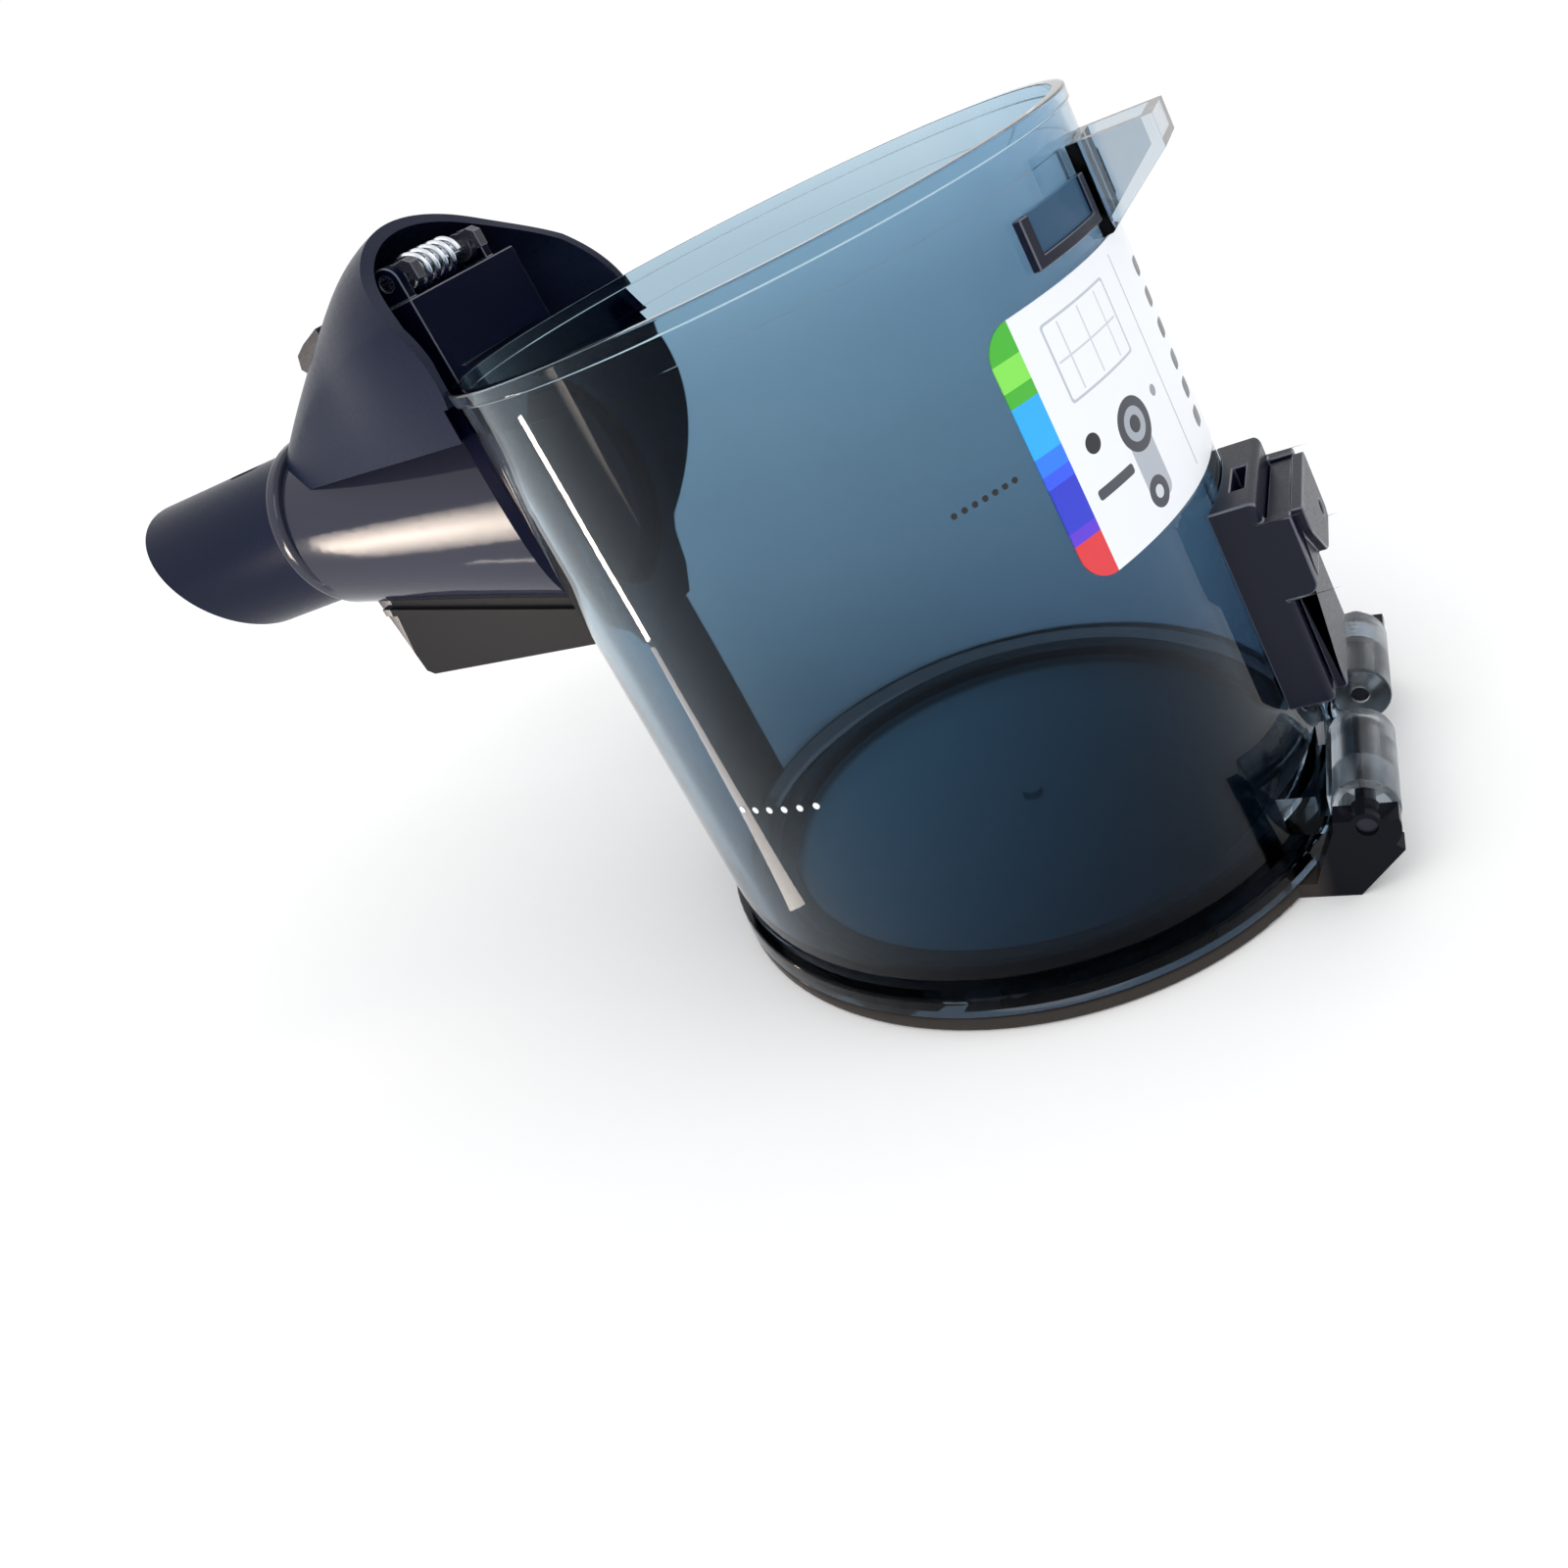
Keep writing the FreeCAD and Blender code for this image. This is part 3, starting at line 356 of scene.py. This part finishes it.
def seal_rubber():
    """Moulded EPDM seal rubber: matt black with a powdery sheen."""
    return grained("epdm rubber", 0.8 * MM, 0.03 * MM, 3.0, (0.3, 0.4), Base_Color=linear("#0b1422"),
                   Specular_IOR_Level=0.25)


def steel_wire():
    """Drawn spring steel and zinc-plated screws: bright, with a fine grain from the drawing."""
    return grained("drawn steel", 0.5 * MM, 0.01 * MM, 2.0, (0.2, 0.34), Base_Color=linear("#dfe3ea"),
                   Metallic=1.0)


def blackened_steel():
    """Turned steel pin, black-oxided: a dark metal with a soft sheen."""
    return grained("black oxide steel", 0.7 * MM, 0.01 * MM, 2.0, (0.3, 0.42), Base_Color=linear("#35363d"),
                   Metallic=1.0)


def dot_ink():
    """Pad-printed ink, slightly satin: the upper row of dots dark, the lower pale, told apart by height."""
    material, tree = new_material("dot ink")
    place = add(tree, "ShaderNodeTexCoord")
    split = add(tree, "ShaderNodeSeparateXYZ", [("Vector", place.outputs["Object"])])
    high = add(tree, "ShaderNodeMath", [(0, split.outputs["Z"])], operation="GREATER_THAN")
    high.inputs[1].default_value = DOT_SPLIT
    tint = add(tree, "ShaderNodeMix", [(0, high.outputs[0])], data_type="RGBA")
    tint.inputs[6].default_value = linear("#e8edf0")
    tint.inputs[7].default_value = linear("#0a0b0e")
    body = add(tree, "ShaderNodeBsdfPrincipled", [("Base Color", tint.outputs[2])], Roughness=0.5)
    finish_tree(tree, body.outputs[0])
    return material


def mask(tree, place, centre, half, radius):
    """1 inside a box with round corners, else 0. Distance past the box's core, |p - centre| - half where that
    is positive, is compared with the corner radius; a core of no size gives a disc. In label millimetres."""
    moved = add(tree, "ShaderNodeVectorMath", [(0, place)], operation="SUBTRACT")
    moved.inputs[1].default_value = (centre[0], centre[1], 0.0)
    folded = add(tree, "ShaderNodeVectorMath", [(0, moved.outputs[0])], operation="ABSOLUTE")
    past = add(tree, "ShaderNodeVectorMath", [(0, folded.outputs[0])], operation="SUBTRACT")
    past.inputs[1].default_value = (half[0], half[1], 0.0)
    outside = add(tree, "ShaderNodeVectorMath", [(0, past.outputs[0])], operation="MAXIMUM")
    far = add(tree, "ShaderNodeVectorMath", [(0, outside.outputs[0])], operation="LENGTH")
    inside = add(tree, "ShaderNodeMath", [(0, far.outputs["Value"])], operation="LESS_THAN")
    inside.inputs[1].default_value = radius
    return inside.outputs[0]


# The label's print, in millimetres from its lower left corner: hex, then centre, half size of the core and
# corner radius of each patch. All of it is a plain pictogram of a cleaner, a grid and a column of dots.
LABEL_PRINT = (
    ("#b4bac4", (18.0, 29.9), (7.8, 5.4), 0.6),
    ("#e6eaf0", (18.0, 29.9), (7.5, 5.1), 0.5),
    ("#c3c8d0", (18.0, 29.9), (7.5, 0.1), 0.06),
    ("#c3c8d0", (13.0, 29.9), (0.1, 5.1), 0.06),
    ("#c3c8d0", (18.0, 29.9), (0.1, 5.1), 0.06),
    ("#c3c8d0", (23.0, 29.9), (0.1, 5.1), 0.06),
    ("#15171d", (10.0, 17.6), (0.0, 0.0), 1.5),
    ("#a9afb9", (19.2, 10.4), (1.3, 5.4), 1.6),
    ("#343842", (19.5, 15.5), (0.0, 0.0), 4.1),
    ("#9aa1ac", (19.5, 15.5), (0.0, 0.0), 2.6),
    ("#2b2e37", (19.5, 15.5), (0.0, 0.0), 1.3),
    ("#3a3e48", (18.5, 4.9), (0.0, 0.0), 2.4),
    ("#c9ced6", (18.5, 4.9), (0.0, 0.0), 1.0),
    ("#40444e", (11.2, 10.7), (3.6, 0.3), 0.5),
    ("#8a909b", (27.4, 17.0), (0.0, 0.0), 0.9),
    ("#aab0ba", (31.6, 19.8), (0.08, 17.4), 0.1),
    ("#343842", (43.8, 31.5), (1.0, 0.3), 1.2),
    ("#343842", (43.4, 26.4), (1.0, 0.3), 1.2),
    ("#343842", (43.0, 21.2), (1.0, 0.3), 1.2),
    ("#343842", (42.7, 15.8), (1.0, 0.3), 1.2),
    ("#343842", (42.2, 11.0), (1.0, 0.3), 1.2),
    ("#343842", (41.4, 6.2), (1.0, 0.3), 1.2),
)
# Colour bands of the strip on the label's left, upward from the foot as shares of the label's height.
LABEL_BANDS = ((0.0, "#d8323a"), (0.17, "#5a30d0"), (0.22, "#2233c8"), (0.40, "#2a55f0"), (0.45, "#1f78f8"),
               (0.52, "#1fa8f8"), (0.72, "#3fae2a"), (0.78, "#7edc4f"), (0.88, "#3fae2a"))


def printed_film():
    """Vinyl label film, printed with a strip of colour bands and grey pictograms under a satin coat."""
    material, tree = new_material("printed vinyl film")
    normal, wave = ripple(tree, 3.0 * MM, 0.006 * MM, 2.0)
    place = add(tree, "ShaderNodeUVMap", uv_map="print").outputs["UV"]
    axes = add(tree, "ShaderNodeSeparateXYZ", [("Vector", place)])
    rise = add(tree, "ShaderNodeMapRange", [("Value", axes.outputs["Y"])], From_Max=LABEL_TALL)
    bands = add(tree, "ShaderNodeValToRGB", [("Fac", rise.outputs["Result"])])
    bands.color_ramp.interpolation = "CONSTANT"
    marks = bands.color_ramp.elements
    while len(marks) < len(LABEL_BANDS):
        marks.new(0.5)
    for mark, (share, code) in zip(marks, LABEL_BANDS):
        mark.position = share
        mark.color = linear(code)
    strip = add(tree, "ShaderNodeMath", [(0, axes.outputs["X"])], operation="LESS_THAN")
    strip.inputs[1].default_value = LABEL_STRIP
    colour = add(tree, "ShaderNodeMix", [(0, strip.outputs[0]), (7, bands.outputs["Color"])],
                 data_type="RGBA")
    colour.inputs[6].default_value = linear("#e6eaf0")
    for code, centre, half, radius in LABEL_PRINT:
        inside = mask(tree, place, centre, half, radius)
        patch = add(tree, "ShaderNodeMix", [(0, inside), (6, colour.outputs[2])], data_type="RGBA")
        patch.inputs[7].default_value = linear(code)
        colour = patch
    rough = spread(tree, wave, 0.28, 0.36)
    body = add(tree, "ShaderNodeBsdfPrincipled", [("Normal", normal), ("Roughness", rough),
                                                  ("Base Color", colour.outputs[2])])
    finish_tree(tree, body.outputs[0])
    return material


finishes = {
    "clear_smoke": clear_smoke_polycarbonate(),
    "black_gloss": black_abs(),
    "black_satin": satin_abs(),
    "tinted_lid": tinted_lid_plastic(),
    "seal_rubber": seal_rubber(),
    "screw_steel": steel_wire(),
    "spring_steel": steel_wire(),
    "label_film": printed_film(),
    "mark_ink": dot_ink(),
}

# Pieces whose finish differs from the rest of their slot.
own_finish = {
    "scoop_shell": hood_abs(),
    "inlet_tube": hood_abs(),
    "catch_panels": smoke_window(),
    # Painted shade: the flange, spine and carrier, in the hood's shade and behind the cup, take a darker
    # black.
    "inlet_flange": shaded_abs(),
    "front_spine": shaded_abs(),
    "lever_carrier": shaded_abs(),
    "release_lever": lever_acetal(),
    "hinge_pins": blackened_steel(),
}
edge_highlight_finish = painted_edge_highlight()

record = frame["record"]
body_of_node = {n: b for b, nodes in record["behaviour"]["bodies"].items() for n in nodes}
slot_of_node = {row["node"]: row["material_slot"] for row in record["subparts"]}


def stand_off(bm):
    """Moves each vertex within CONTACT_REACH of the cup's outer cylinder out to CONTACT_GAP from it."""
    c, s = math.cos(CUP_LEAN), math.sin(CUP_LEAN)
    points = np.array([tuple(v.co) for v in bm.verts])
    across = points[:, 0] * c + points[:, 2] * s
    along = points[:, 2] * c - points[:, 0] * s
    radius = np.hypot(across, points[:, 1])
    on_wall = np.abs(radius - CUP_RADIUS) < CONTACT_REACH
    grow = np.where(on_wall, (CUP_RADIUS + CONTACT_GAP) / np.maximum(radius, MM), 1.0)
    moved = cup_to_row(np.stack([across * grow, points[:, 1] * grow, along], axis=-1))
    for vert in bm.verts:
        if on_wall[vert.index]:
            vert.co = moved[vert.index]


def smooth_skin(node):
    """The node's own faces, merged and shaded smooth except where two faces meet at more than CREASE."""
    source = frame["nodes"][node]
    bm = bmesh.new()
    bm.from_mesh(source.data)
    bmesh.ops.remove_doubles(bm, verts=bm.verts, dist=MERGE)
    if node in ROUNDED:
        bmesh.ops.dissolve_limit(bm, angle_limit=FLAT, verts=bm.verts, edges=bm.edges)
    bm.verts.index_update()
    if slot_of_node[node] not in ("clear_smoke", "mark_ink"):
        stand_off(bm)
    for face in bm.faces:
        face.smooth = True
    for edge in bm.edges:
        edge.smooth = node in ROUNDED or len(edge.link_faces) == 2 and edge.calc_face_angle(0.0) < CREASE
    mesh = bpy.data.meshes.new(node + "_skin")
    bm.to_mesh(mesh)
    bm.free()
    if "custom_normal" in mesh.attributes:
        mesh.attributes.remove(mesh.attributes["custom_normal"])
    mesh.materials.clear()
    mesh.materials.append(own_finish.get(node, finishes[slot_of_node[node]]))
    for polygon in mesh.polygons:
        polygon.material_index = 0
    piece = bpy.data.objects.new(node + "_skin", mesh)
    bpy.context.scene.collection.objects.link(piece)
    if node in ROUNDED:
        edges = piece.modifiers.new("edges", "BEVEL")
        edges.width = ROUNDED[node]
        edges.segments = ROUND_STEPS
        edges.limit_method = "ANGLE"
        edges.angle_limit = CREASE
        edges.use_clamp_overlap = False
        edges.harden_normals = True
        # Painted highlight: the bevel's faces take the lighter edge colour.
        mesh.materials.append(edge_highlight_finish)
        edges.material = 1
    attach(piece, body_of_node[node])
    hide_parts(node)
    return piece


for node_name in body_of_node:
    if node_name != "label":
        skin = smooth_skin(node_name)
        if node_name == "lock_spring":
            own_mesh(skin)


def make_label():
    """Film on the cup. A row at height v runs over the angle span, drawn in at both ends by the corner's
    radius less the root of radius squared less the height past the corner's centre squared. Its face and
    its back lie on two cylinders about the cup's axis, joined round the rim."""
    across = LABEL_COLUMNS
    bend = np.linspace(0.0, math.pi / 2, LABEL_CORNER_ROWS)
    low = LABEL_FOOT + LABEL_CORNER * (1.0 - np.cos(bend))
    middle = np.linspace(low[-1], LABEL_HEAD - LABEL_CORNER, LABEL_ROWS)[1:-1]
    v = np.concatenate([low, middle, LABEL_HEAD - LABEL_CORNER * (1.0 - np.cos(bend[::-1]))])
    past = np.maximum(np.maximum(LABEL_FOOT + LABEL_CORNER - v, v - LABEL_HEAD + LABEL_CORNER), 0.0)
    inset = LABEL_CORNER - np.sqrt(np.maximum(LABEL_CORNER**2 - past**2, 0.0))
    share = np.linspace(0.0, 1.0, across)
    face_radius = CUP_RADIUS + LABEL_FACE
    start = LABEL_FROM + inset / face_radius
    stop = LABEL_TO - inset / face_radius
    angle = start[:, None] + (stop - start)[:, None] * share[None, :]
    height = np.repeat(v[:, None], across, axis=1)
    sheets = [np.stack([r * np.cos(angle), r * np.sin(angle), height], axis=-1).reshape(-1, 3)
              for r in (face_radius, CUP_RADIUS + LABEL_UNDER)]
    points = cup_to_row(np.concatenate(sheets))
    rows = len(v)
    index = np.arange(rows * across).reshape(rows, across)
    face = np.stack([index[:-1, :-1], index[:-1, 1:], index[1:, 1:], index[1:, :-1]], axis=-1).reshape(-1, 4)
    back = face[:, ::-1] + rows * across
    edge = np.concatenate([index[0, :], index[1:, -1], index[-1, -2::-1], index[-2:0:-1, 0]])
    ahead = np.roll(edge, -1)
    rim = np.stack([edge, edge + rows * across, ahead + rows * across, ahead], axis=-1)
    faces = np.concatenate([face, back, rim])
    mesh = bpy.data.meshes.new("label_film")
    mesh.from_pydata(points.tolist(), [], faces.tolist())
    u = np.tile(((angle - LABEL_FROM) * face_radius / MM).reshape(-1), 2)
    w = np.tile(((height - LABEL_FOOT) / MM).reshape(-1), 2)
    layer = mesh.uv_layers.new(name="print")
    layer.data.foreach_set("uv", np.stack([u, w], axis=-1)[faces.reshape(-1)].reshape(-1))
    mesh.materials.append(finishes["label_film"])
    mesh.shade_smooth()
    mesh.set_sharp_from_angle(angle=CREASE)
    film = bpy.data.objects.new("label_film", mesh)
    bpy.context.scene.collection.objects.link(film)
    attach(film, body_of_node["label"])
    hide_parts("label")


make_label()


def make_floor():
    """A pale floor that reaches past the horizon of the picture."""
    material, tree = new_material("pale floor")
    body = add(tree, "ShaderNodeBsdfDiffuse", Color=linear("#ffffff"))
    finish_tree(tree, body.outputs[0])
    mesh = bpy.data.meshes.new("floor")
    corners = [(x * FLOOR_REACH, y * FLOOR_REACH, 0.0) for x, y in ((-1, -1), (1, -1), (1, 1), (-1, 1))]
    mesh.from_pydata(corners, [], [(0, 1, 2, 3)])
    mesh.materials.append(material)
    floor = bpy.data.objects.new("floor", mesh)
    bpy.context.scene.collection.objects.link(floor)


# Softboxes: name, place, point aimed at, direction of the width, width and height in metres, beam angle in
# degrees, power in watts, hex. The last three are small cards that the duct and the cup's side mirror.
LAMPS = (
    ("key", (-0.25, -0.75, 0.85), (0.0, 0.0, 0.06), (1, 0, 0),
     0.5, 0.5, 180.0, 2.0, "#ffffff"),
    ("side", (0.9, 0.1, 0.7), (0.0, 0.0, 0.06), (0, 1, 0),
     0.6, 0.6, 180.0, 1.5, "#ffffff"),
    ("duct_card", (-0.192, -0.139, 0.048), (-0.082, -0.018, 0.080), (0.745, -0.667, 0),
     0.065, 0.088, 30.0, 0.015, "#ffeedd"),
    ("cup_card", (-0.1765, -0.0735, 0.034), (-0.031, -0.05, 0.066), (-0.39, -0.016, 0.918),
     0.066, 0.007, 60.0, 0.013, "#ffe4d0"),
    ("foot_card", (-0.102, -0.0625, 0.004), (-0.102, -0.0625, 0.1), (-0.985, -0.17, 0),
     0.118, 0.007, 180.0, 0.014, "#fff2e6"),
)


def make_lights():
    """Even white surround and the softboxes, whose own shapes show neither directly nor through the cup."""
    world = bpy.data.worlds.new("studio")
    bpy.context.scene.world = world
    world.use_nodes = True
    tree = world.node_tree
    tree.nodes.clear()
    plain = add(tree, "ShaderNodeBackground", Color=linear("#ffffff"), Strength=1.0)
    out = add(tree, "ShaderNodeOutputWorld")
    tree.links.new(plain.outputs[0], out.inputs["Surface"])
    for name, place, aim, along, wide, tall, beam, power, code in LAMPS:
        lamp = bpy.data.lights.new(name, "AREA")
        lamp.shape = "RECTANGLE"
        lamp.size = wide
        lamp.size_y = tall
        lamp.spread = math.radians(beam)
        lamp.energy = power
        lamp.color = linear(code)[:3]
        lamp_object = bpy.data.objects.new(name, lamp)
        lamp_object.location = place
        back = (Vector(place) - Vector(aim)).normalized()
        width = (Vector(along) - back * Vector(along).dot(back)).normalized()
        turn = Matrix((width, back.cross(width), back)).transposed()
        lamp_object.rotation_mode = "QUATERNION"
        lamp_object.rotation_quaternion = turn.to_quaternion()
        lamp_object.visible_camera = False
        lamp_object.visible_transmission = False
        bpy.context.scene.collection.objects.link(lamp_object)


def make_camera():
    """The photograph's viewpoint: azimuth, dip and roll turn the camera, its numbers set lens and shift."""
    az, dip, roll = CAMERA_AZIMUTH, CAMERA_DIP, CAMERA_ROLL
    ahead = Vector((-math.sin(az) * math.cos(dip), math.cos(az) * math.cos(dip), -math.sin(dip)))
    right = ahead.cross(Vector((0, 0, 1))).normalized()
    above = right.cross(ahead)
    turned_right = right * math.cos(roll) + above * math.sin(roll)
    turned_above = above * math.cos(roll) - right * math.sin(roll)
    camera = bpy.data.cameras.new("camera")
    camera.sensor_width = SENSOR
    camera.lens = SENSOR * PICTURE_FOCAL / PICTURE_SIDE
    camera.shift_x = 0.5 - PICTURE_AXIS_X / PICTURE_SIDE
    camera.shift_y = PICTURE_AXIS_Y / PICTURE_SIDE - 0.5
    camera.clip_start = CLIP_NEAR
    camera.clip_end = CLIP_FAR
    eye = bpy.data.objects.new("camera", camera)
    bpy.context.scene.collection.objects.link(eye)
    turn = Matrix((turned_right, turned_above, -ahead)).transposed()
    eye.matrix_world = Matrix.Translation(CAMERA_PLACE) @ turn.to_4x4()
    bpy.context.scene.camera = eye


make_floor()
make_lights()
make_camera()
bpy.context.scene.view_settings.view_transform = "Standard"
